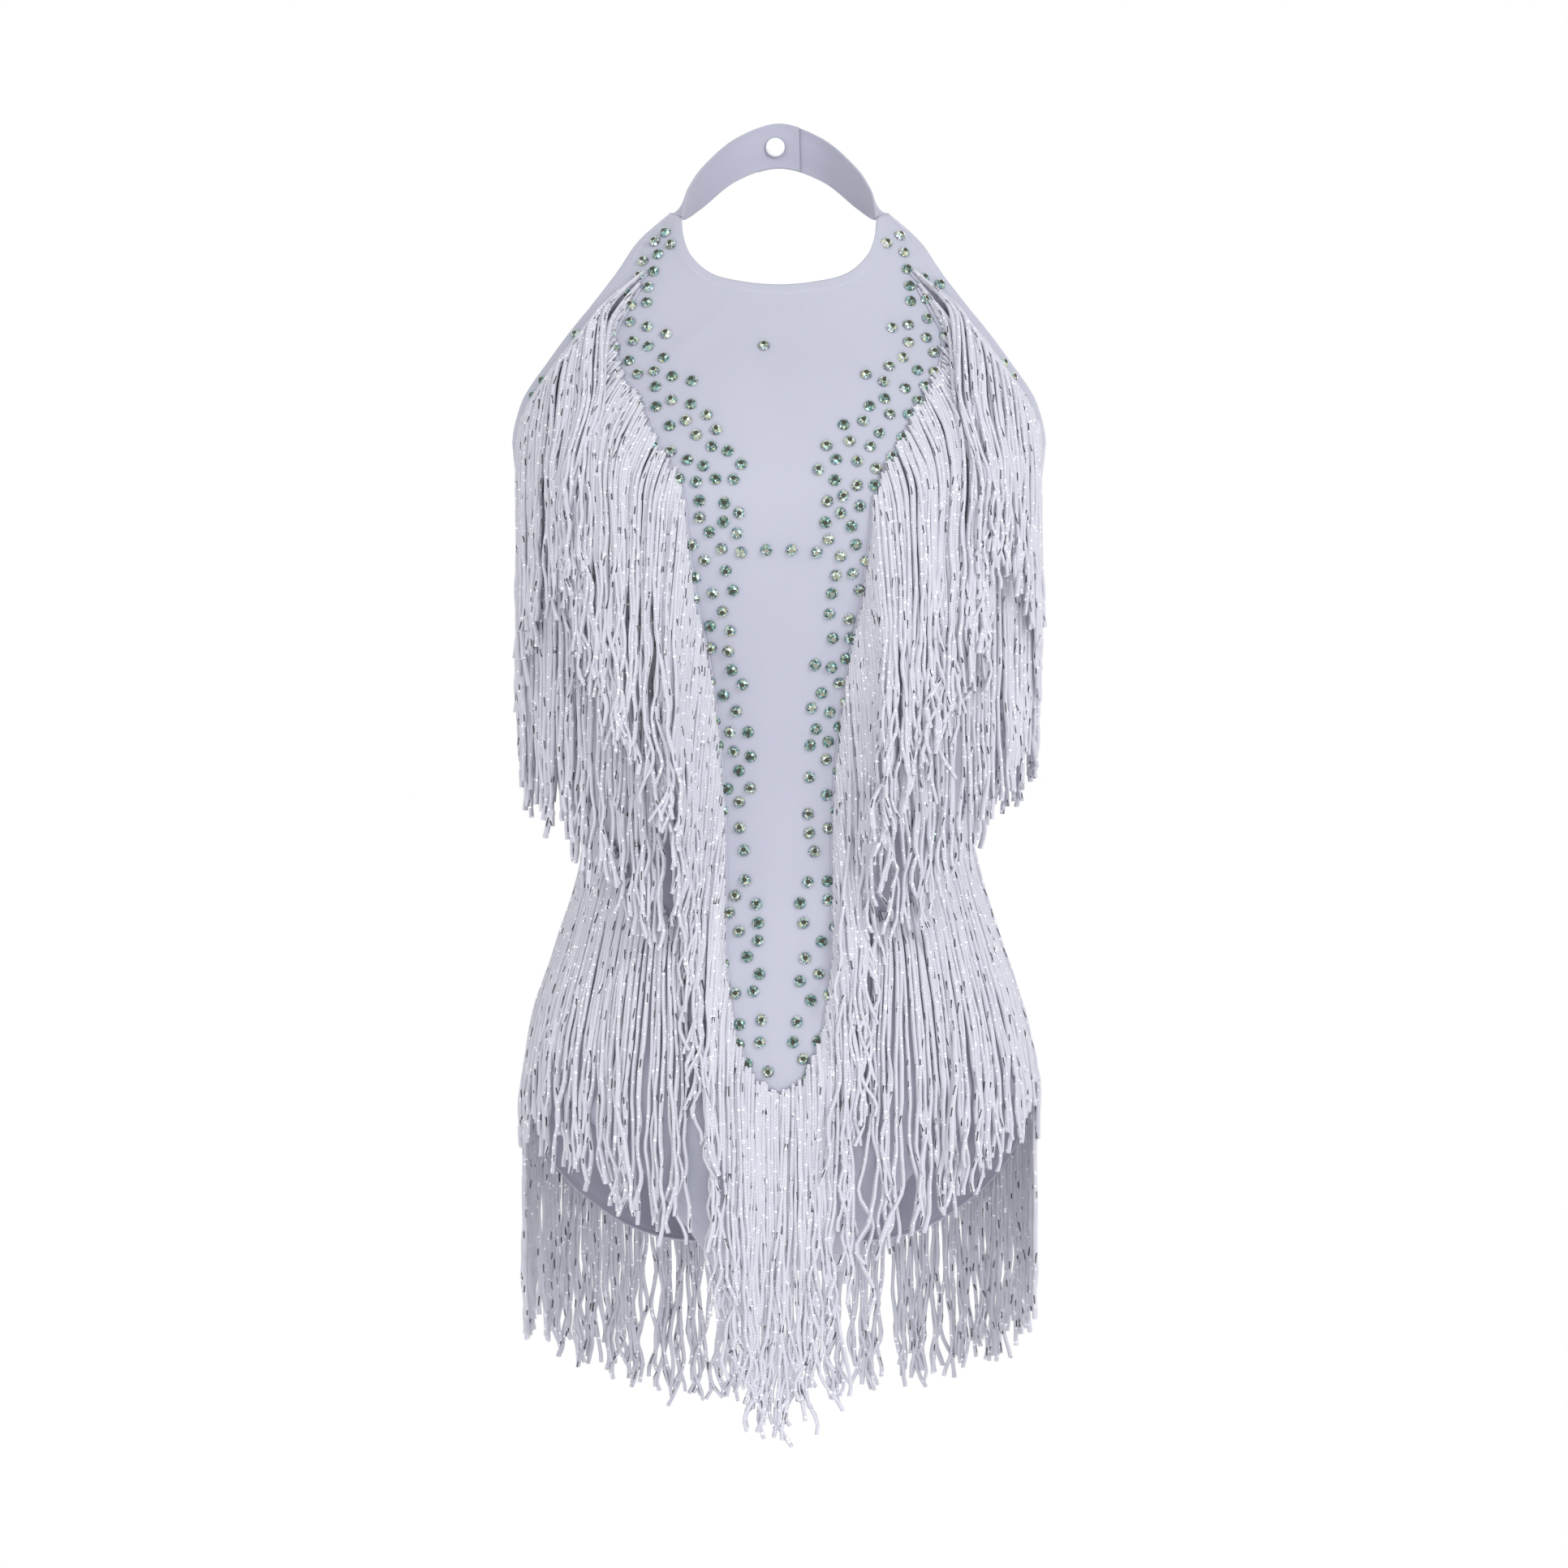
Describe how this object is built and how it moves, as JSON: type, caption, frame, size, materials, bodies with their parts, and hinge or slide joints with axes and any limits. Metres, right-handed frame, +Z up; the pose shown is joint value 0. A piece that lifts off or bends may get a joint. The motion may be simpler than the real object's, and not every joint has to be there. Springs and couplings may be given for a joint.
{
  "type": "fringed rhinestone bodysuit",
  "caption": "Sleeveless halter bodysuit in stretch satin with tiered hanging fringe and crystal trim, closed by a snap at the nape.",
  "frame": {"origin": "inner face of the neck band at the nape, where the wearer's neck holds the garment", "axes": "+Z up as worn, -Y out of the front, +X towards the wearer's left hand side"},
  "size_m": [0.3344, 0.2484, 0.8171],
  "materials": {
    "satin": "lilac-white stretch satin, soft sheen",
    "neck_band": "inner face of the stretch satin, matt",
    "fringe": "braided chainette with metallic glints",
    "snap": "moulded white plastic"
  },
  "bodies": {
    "root": {"front": "satin", "back": "satin", "gusset": "satin", "neck_band_left": "neck_band", "neck_band_right": "neck_band", "snap_cap_inner": "snap", "snap_cap_outer": "snap", "fringe_armhole_right": "fringe", "fringe_armhole_left": "fringe", "fringe_centre_right": "fringe", "fringe_centre_left": "fringe", "fringe_underbust_right": "fringe", "fringe_underbust_left": "fringe", "fringe_hip_right": "fringe", "fringe_hip_left": "fringe", "fringe_back_upper_right": "fringe", "fringe_back_upper_left": "fringe", "fringe_back_waist_right": "fringe", "fringe_back_waist_left": "fringe", "fringe_back_seat_right": "fringe", "fringe_back_seat_left": "fringe"}
  },
  "joints": []
}
